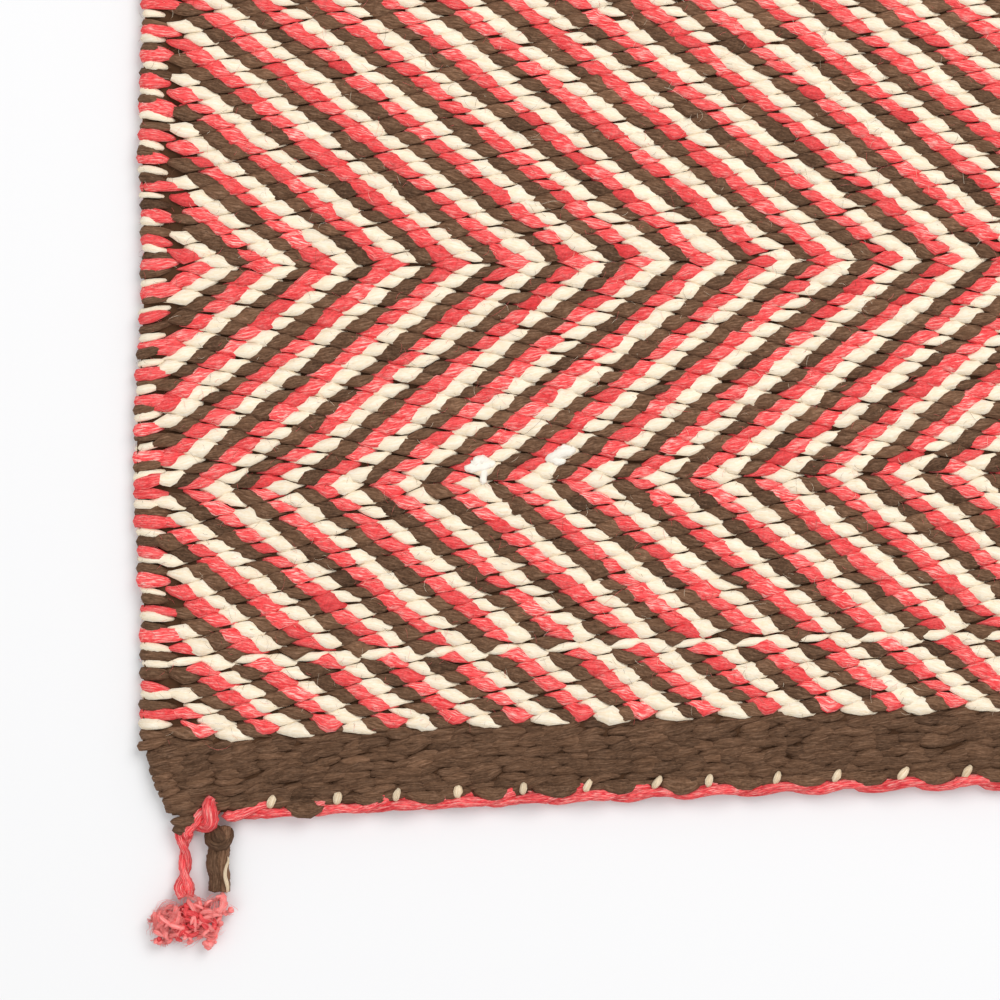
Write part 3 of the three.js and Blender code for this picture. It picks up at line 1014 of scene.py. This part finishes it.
class BLANKET_OT_tassels(Operator):
    """Ties a red tassel at each corner: a knotted two-ply stem and a fluffed tuft"""

    bl_idname = "blanket.tassels"
    bl_label = "Corner Tassels"

    ROUTE = (
        (20.6, -7.6, 4.6),
        (19.4, -4.9, 4.9),
        (17.9, -2.2, 4.5),
        (14.8, -0.2, 3.6),
        (12.4, 1.0, 3.3),
        (12.2, 4.6, 2.3),
        (12.4, 8.5, 2.1),
        (12.3, 12.4, 2.2),
        (12.2, 15.8, 2.6),
        (12.6, 18.6, 2.9),
    )
    # Half width of a ply at each place of the route
    PLY = (1.2, 2.1, 2.2, 1.05, 1.6, 1.05, 1.0, 1.1, 1.6, 1.4)
    STEPS = 60
    # Lumps of the tuft: inward, outward, half width, and how much of the wool is deep red, the painted shade
    # where the tuft is dark
    LUMPS = (
        (8.8, 25.0, 4.0, 0.15),
        (13.4, 24.8, 4.6, 0.9),
        (14.4, 20.8, 3.2, 0.4),
        (20.4, 20.6, 3.2, 0.0),
        (23.2, 21.6, 1.5, 0.0),
        (18.4, 24.8, 3.8, 0.6),
        (18.2, 28.0, 2.5, 0.2),
        (18.8, 30.4, 1.7, 0.0),
        (6.6, 28.4, 2.5, 0.2),
        (5.3, 30.6, 1.5, 0.0),
        (12.4, 28.6, 2.8, 0.7),
        (5.4, 24.6, 2.2, 0.0),
    )
    LUMP_HEIGHT = 3.0
    # Clumps, half width of a strand, least and most reach in its lump, and whether it is worn: worn wool is
    # the pale lit copy, the rest the deep red copy of painted shade
    WOOL = {
        "locks": (50, 0.75, 0.45, 0.95, False),
        "curls": (110, 0.6, 0.7, 1.0, True),
        "fibres": (50, 0.055, 0.85, 1.15, True),
    }
    STRANDS = 16
    STRANDS_ELSEWHERE = 8

    def execute(self, context):
        stem_form = StrandForm(8, self.STEPS)
        lock_form = StrandForm(5, 8)
        fibre_form = StrandForm(3, 5)
        steps = np.linspace(0.0, 1.0, self.STEPS + 1)
        ply = np.interp(steps, np.linspace(0.0, 1.0, len(self.PLY)), self.PLY)
        wide = np.tile(ply, (2, 1))
        for end, end_name in ((-1, "front"), (1, "back")):
            for side, side_name in ((-1, "left"), (1, "right")):
                name = f"{end_name}_{side_name}"
                line = at_corner(smooth_route(self.ROUTE, self.STEPS), side, end)
                stem = lay_strands(
                    f"tassel_{name}_stem",
                    stem_form,
                    plied(line, 0.75 * ply, 7.0),
                    wide,
                    wide,
                    np.array([0.9, -0.5]),
                    cord_wool(),
                    "red_wool",
                    rough=0.06,
                )
                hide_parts(f"tassel_{name}")
                corner = side, end
                self.tuft(name, corner, lock_form, "locks", 1)
                self.tuft(name, corner, lock_form, "curls", 1)
                strands = self.STRANDS if corner == (-1, -1) else self.STRANDS_ELSEWHERE
                self.tuft(name, corner, fibre_form, "fibres", strands)
        return {"FINISHED"}

    def tuft(self, name, corner, form, kind, strands):
        """Curled clumps of like strands that fill the tuft's lumps."""
        clumps, half_wide, least, most, worn = self.WOOL[kind]
        lumps = np.array(self.LUMPS)
        # Deep red locks go where the tuft is painted in shade, and the pale lit curls and fibres go
        # elsewhere
        share = lumps[:, 2] ** 2 * ((1.0 - 0.85 * lumps[:, 3]) if worn else lumps[:, 3])
        lump = lumps[rng.choice(len(lumps), clumps, p=share / share.sum())]
        first = unit(rng.standard_normal((clumps, 3)) + np.array([0.0, 0.0, 0.5]))
        second = unit(np.cross(first, rng.standard_normal((clumps, 3))))
        out = lump[:, 2] * rng.uniform(least, most, clumps)
        length = rng.uniform(1.1, 2.3, clumps)
        wave = rng.uniform(0.0, math.tau, clumps)
        tone = rng.normal(0.1, 0.9, clumps)
        lump, first, second, out, length, wave, tone = (
            np.repeat(values, strands, axis=0) for values in (lump, first, second, out, length, wave, tone)
        )
        count = clumps * strands
        scatter = 0.2 if strands > 1 else 0.0
        first = unit(first + scatter * rng.standard_normal((count, 3)))
        out = out * (1.0 + scatter * rng.standard_normal(count))
        turn = (np.linspace(-0.5, 0.5, 7) + scatter * rng.standard_normal((count, 1))) * length[:, None]
        out = out[:, None] * (1.0 + 0.14 * np.sin(3.0 * turn + wave[:, None]))
        swing = first[:, None] * np.cos(turn)[..., None] + second[:, None] * np.sin(turn)[..., None]
        middle = np.stack([lump[:, 0], lump[:, 1], np.full(count, self.LUMP_HEIGHT)], axis=-1)
        stations = middle[:, None] + swing * out[..., None] * np.array([1.0, 1.0, 0.8])
        places = np.linspace(-1.0, 1.0, form.steps + 1)
        line = through(stations.transpose(0, 2, 1), places).transpose(0, 2, 1)
        line[..., 2] = np.clip(line[..., 2], half_wide, 6.4)
        thick = half_wide * rng.uniform(0.7, 1.25, (count, 1)) * np.sqrt(1.02 - places**2)
        lay_strands(
            f"tassel_{name}_{kind}",
            form,
            at_corner(line, *corner),
            thick,
            thick,
            kept_tone(tone),
            tuft_wool(worn),
            "red_wool",
            across=np.array([0.31, 0.2, 0.93]),
            rough=0.1,
        )


class BLANKET_OT_tail(Operator):
    """Lays the loose brown yarn tail with its knot at the front left corner"""

    bl_idname = "blanket.tail"
    bl_label = "Yarn Tail"

    ROUTE = (
        (21.8, -0.6, 3.0),
        (21.5, 2.6, 3.2),
        (21.4, 5.8, 2.5),
        (20.9, 9.6, 2.3),
        (21.5, 13.4, 2.3),
        (21.3, 17.4, 2.1),
    )
    PLY = (1.6, 1.9, 1.65, 1.75, 1.65, 1.75)
    STEPS = 44
    # Inward, outward and up of the knot's two turns, and their half widths
    KNOT = (
        ((18.4, 0.2, 2.4), (19.0, 3.4, 3.6), (21.4, 4.8, 4.2), (23.8, 3.4, 3.6), (24.3, 0.2, 2.4)),
        ((20.2, -0.6, 3.6), (20.8, 1.2, 4.4), (21.5, 2.4, 4.6), (22.0, 3.2, 4.4), (22.6, 4.0, 3.6)),
    )
    KNOT_HALF = ((1.3, 1.5, 1.6, 1.5, 1.3), (1.4, 1.8, 2.0, 1.8, 1.4))
    # The pale strand that has worn loose along the tail
    WORN = (((23.4, 7.4, 2.9), (23.6, 9.8, 3.3), (23.0, 12.2, 3.5), (23.5, 14.8, 3.4), (23.2, 17.6, 2.9)),)
    WORN_HALF = ((0.15, 0.35, 0.45, 0.5, 0.35),)

    def execute(self, context):
        line = at_corner(smooth_route(self.ROUTE, self.STEPS), -1, -1)
        steps = np.linspace(0.0, 1.0, self.STEPS + 1)
        ply = np.interp(steps, np.linspace(0.0, 1.0, len(self.PLY)), self.PLY)
        wide = np.tile(ply, (2, 1))
        tail = lay_strands(
            "brown_tail_plies",
            StrandForm(8, self.STEPS),
            plied(line, 0.72 * ply, 80.0, start=3.4),
            wide,
            0.85 * wide,
            np.array([-1.0, 0.6]),
            yarn_wool(BROWN),
            "brown_wool",
            rough=0.04,
        )
        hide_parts("brown_tail")
        thick = np.array(self.KNOT_HALF)
        lay_stations(
            "brown_tail_knot",
            StrandForm(8, 12),
            at_corner(self.KNOT, -1, -1),
            thick,
            0.8 * thick,
            # Both turns of the knot take the lowest tone: painted shade under the end band
            [-1.6, -1.6],
            BROWN,
            blunt=0.4,
            rough=0.06,
        )
        thick = np.array(self.WORN_HALF)
        lay_stations(
            "brown_tail_worn",
            StrandForm(6, 12),
            at_corner(self.WORN, -1, -1),
            thick,
            thick,
            [0.0],
            BROWN,
            material=loop_wool(),
            rough=0.1,
        )
        return {"FINISHED"}


def photo_place(px, py):
    """X and Y of a place in the reference picture, which looks straight down at the front left corner."""
    x = -HALF_WIDTH + (np.asarray(px) - PICTURE_CORNER[0]) * PICTURE_SCALE
    y = -HALF_LENGTH + (PICTURE_CORNER[1] - np.asarray(py)) * PICTURE_SCALE
    return x, y


class BLANKET_OT_worn_spots(Operator):
    """Lays the bare white warp and the frayed stitch of two worn spots"""

    bl_idname = "blanket.worn_spots"
    bl_label = "Worn Spots"

    # Ends of each frayed yarn in the picture, with its half width
    YARNS = (
        ((463, 470), (497, 463), 1.45),
        ((469, 463), (491, 459), 1.35),
        ((478, 464), (494, 468), 1.2),
        ((484, 466), (483, 488), 1.0),
        ((544, 460), (577, 447), 1.45),
        ((549, 457), (566, 463), 1.1),
        ((556, 450), (572, 449), 1.2),
    )

    def execute(self, context):
        starts = np.array([yarn[0] for yarn in self.YARNS], dtype=float)
        stops = np.array([yarn[1] for yarn in self.YARNS], dtype=float)
        thick = np.array([yarn[2] for yarn in self.YARNS])
        count = len(self.YARNS)
        share = np.linspace(0.0, 1.0, 5)
        places = starts[:, None] + (stops - starts)[:, None] * share[:, None]
        x, y = photo_place(places[..., 0], places[..., 1])
        y = y + rng.normal(0.0, 0.25, (count, 5))
        z = 5.9 - 3.2 * (share - 0.5) ** 2 + rng.normal(0.0, 0.1, (count, 1))
        form = StrandForm(8, 12)
        lay_stations(
            "worn_spots",
            form,
            np.stack([x, y, np.broadcast_to(z, x.shape)], axis=-1),
            thick[:, None] * np.array([0.4, 0.9, 1.0, 0.9, 0.4]),
            0.8 * thick[:, None] * np.array([0.4, 0.9, 1.0, 0.9, 0.4]),
            rng.normal(0.3, 0.4, count),
            CREAM,
            rough=0.14,
            material=bare_warp_wool(),
        )
        return {"FINISHED"}


class BLANKET_OT_fuzz(Operator):
    """Scatters loose wool fibres over the front left corner and along its edges"""

    bl_idname = "blanket.fuzz"
    bl_label = "Loose Fibres"

    SHARES = ((CREAM, 0.14), (BROWN, 0.54), (RED, 0.32))
    EDGE_SHARE = 0.05
    LONG_SHARE = 0.04

    def execute(self, context):
        total = context.scene.blanket_sizes.loose_fibres
        form = StrandForm(3, 4)
        along = np.linspace(-0.5, 0.5, 5)
        for colour, share in self.SHARES:
            count = int(total * share)
            front = -WOVEN_HALF if colour == BROWN else BAND_DEPTH - HALF_LENGTH
            v = rng.uniform(front, FINE_CORNER[1] - 8.0, count)
            half = half_width(v, -1)
            x = rng.uniform(-half + 1.0, FINE_CORNER[0])
            edge = rng.uniform(0.0, 1.0, count) < self.EDGE_SHARE
            x = np.where(edge, -half + rng.uniform(0.0, 1.2, count), x)
            heading = rng.uniform(0.0, math.tau, count)
            length = np.where(edge, 0.5, 1.0) * rng.uniform(1.2, 4.0, count)
            stray = (rng.uniform(0.0, 1.0, count) < self.LONG_SHARE) & (x > 14.0 - half)
            length = np.where(stray, 3.0 * length, length)
            bend = rng.normal(0.0, 0.16, count) * length
            forward = np.stack([np.cos(heading), np.sin(heading)], axis=-1)
            sideways = np.stack([-forward[:, 1], forward[:, 0]], axis=-1)
            flat = (
                np.stack([x, bowed(x, v)], axis=-1)[:, None]
                + forward[:, None] * (length[:, None] * along)[..., None]
                + sideways[:, None] * (bend[:, None] * (4.0 * along**2 - 1.0))[..., None]
            )
            top = np.where(edge, rng.uniform(2.0, 5.0, count), rng.uniform(6.0, 6.7, count))
            z = top[:, None] - rng.uniform(0.3, 1.4, (count, 1)) * (2.0 * along) ** 2
            stations = np.concatenate([flat, z[..., None]], axis=-1)
            wide = rng.uniform(0.012, 0.03, (count, 1)) * np.array([0.6, 1.0, 1.0, 1.0, 0.6])
            tone = kept_tone(rng.normal(1.2, 0.5, count))
            lay_stations(f"loose_fibres_{COLOUR_NAMES[colour]}", form, stations, wide, wide, tone, colour)
        return {"FINISHED"}


class BLANKET_OT_cloth(Operator):
    bl_idname = "blanket.cloth"
    bl_label = "Laid Cloth"

    YARNS = (
        "weft_",
        "band_",
        "edge_turns_",
        "end_cord_",
        "warp_loops_",
        "worn_",
        "loose_",
        "tassel_",
        "brown_tail_",
    )

    def execute(self, context):
        return {"FINISHED"}


class BLANKET_OT_stage(Operator):
    """Sets the surface, the light and the camera"""

    bl_idname = "blanket.stage"
    bl_label = "Stage"

    VIEW_CENTRE = (-285.6, -294.9)
    FACE_HEIGHT = 6.0  # the yarns' tops, where the view's width is measured
    SENSOR = 36.0
    SURFACE_GAP = 0.15

    def execute(self, context):
        stage = context.scene.blanket_stage
        deselect_all()
        bpy.ops.mesh.primitive_plane_add(size=8.0, location=(0.0, 0.0, -self.SURFACE_GAP * MM))
        floor = context.object
        floor.name = "floor"
        material = bpy.data.materials.new("Pale Surface")
        material.use_nodes = True
        shader = material.node_tree.nodes["Principled BSDF"]
        shader.inputs["Base Color"].default_value = (0.85, 0.85, 0.855, 1.0)
        shader.inputs["Roughness"].default_value = 0.9
        shader.inputs["Specular IOR Level"].default_value = 0.1
        floor.data.materials.append(material)

        world = bpy.data.worlds.new("Even Light")
        world.use_nodes = True
        background = world.node_tree.nodes["Background"]
        background.inputs["Color"].default_value = (1.0, 1.0, 1.0, 1.0)
        background.inputs["Strength"].default_value = stage.sky
        context.scene.world = world

        centre = Vector((self.VIEW_CENTRE[0] * MM, self.VIEW_CENTRE[1] * MM, 0.0))
        for label, offset, size, power in (
            ("key_lamp", Vector((0.55, 0.6, 1.1)), 0.9, stage.key),
            ("fill_lamp", Vector((-0.7, -0.5, 1.2)), 1.4, 0.5 * stage.key),
        ):
            deselect_all()
            bpy.ops.object.light_add(type="AREA", location=centre + offset)
            lamp = context.object
            lamp.name = label
            lamp.data.shape = "DISK"
            lamp.data.size = size
            lamp.data.energy = power
            lamp.rotation_euler = (-offset).to_track_quat("-Z", "Y").to_euler()

        deselect_all()
        bpy.ops.object.camera_add(location=centre + Vector((0.0, 0.0, stage.camera_height)))
        camera = context.object
        camera.name = "camera"
        camera.data.sensor_width = self.SENSOR
        camera.data.lens = self.SENSOR * (stage.camera_height - self.FACE_HEIGHT * MM) / stage.view_width
        camera.data.clip_end = 20.0
        context.scene.camera = camera
        context.scene.view_settings.view_transform = "Standard"
        return {"FINISHED"}


class BLANKET_PT_pieces(Panel):
    """Lists the pieces in the order they are made"""

    bl_label = "Saddle Blanket"
    bl_idname = "BLANKET_PT_pieces"
    bl_space_type = "VIEW_3D"
    bl_region_type = "UI"
    bl_category = "Blanket"

    def draw(self, context):
        for operator in OPERATORS:
            self.layout.operator(operator.bl_idname)
        for group in (context.scene.blanket_sizes, context.scene.blanket_wool, context.scene.blanket_stage):
            for key in group.__annotations__:
                self.layout.prop(group, key)


OPERATORS = (
    BLANKET_OT_stage,
    BLANKET_OT_ground,
    BLANKET_OT_wefts,
    BLANKET_OT_bands,
    BLANKET_OT_edge_turns,
    BLANKET_OT_end_cords,
    BLANKET_OT_tassels,
    BLANKET_OT_tail,
    BLANKET_OT_worn_spots,
    BLANKET_OT_fuzz,
    BLANKET_OT_cloth,
)
CLASSES = (BlanketSizes, BlanketWool, BlanketStage, *OPERATORS, BLANKET_PT_pieces)


def register():
    for cls in CLASSES:
        bpy.utils.register_class(cls)
    bpy.types.Scene.blanket_sizes = PointerProperty(type=BlanketSizes)
    bpy.types.Scene.blanket_wool = PointerProperty(type=BlanketWool)
    bpy.types.Scene.blanket_stage = PointerProperty(type=BlanketStage)


def unregister():
    del bpy.types.Scene.blanket_stage
    del bpy.types.Scene.blanket_wool
    del bpy.types.Scene.blanket_sizes
    for cls in reversed(CLASSES):
        bpy.utils.unregister_class(cls)


def main():
    register()
    for operator in OPERATORS:
        group, name = operator.bl_idname.split(".")
        getattr(getattr(bpy.ops, group), name)()


if __name__ == "__main__":
    main()
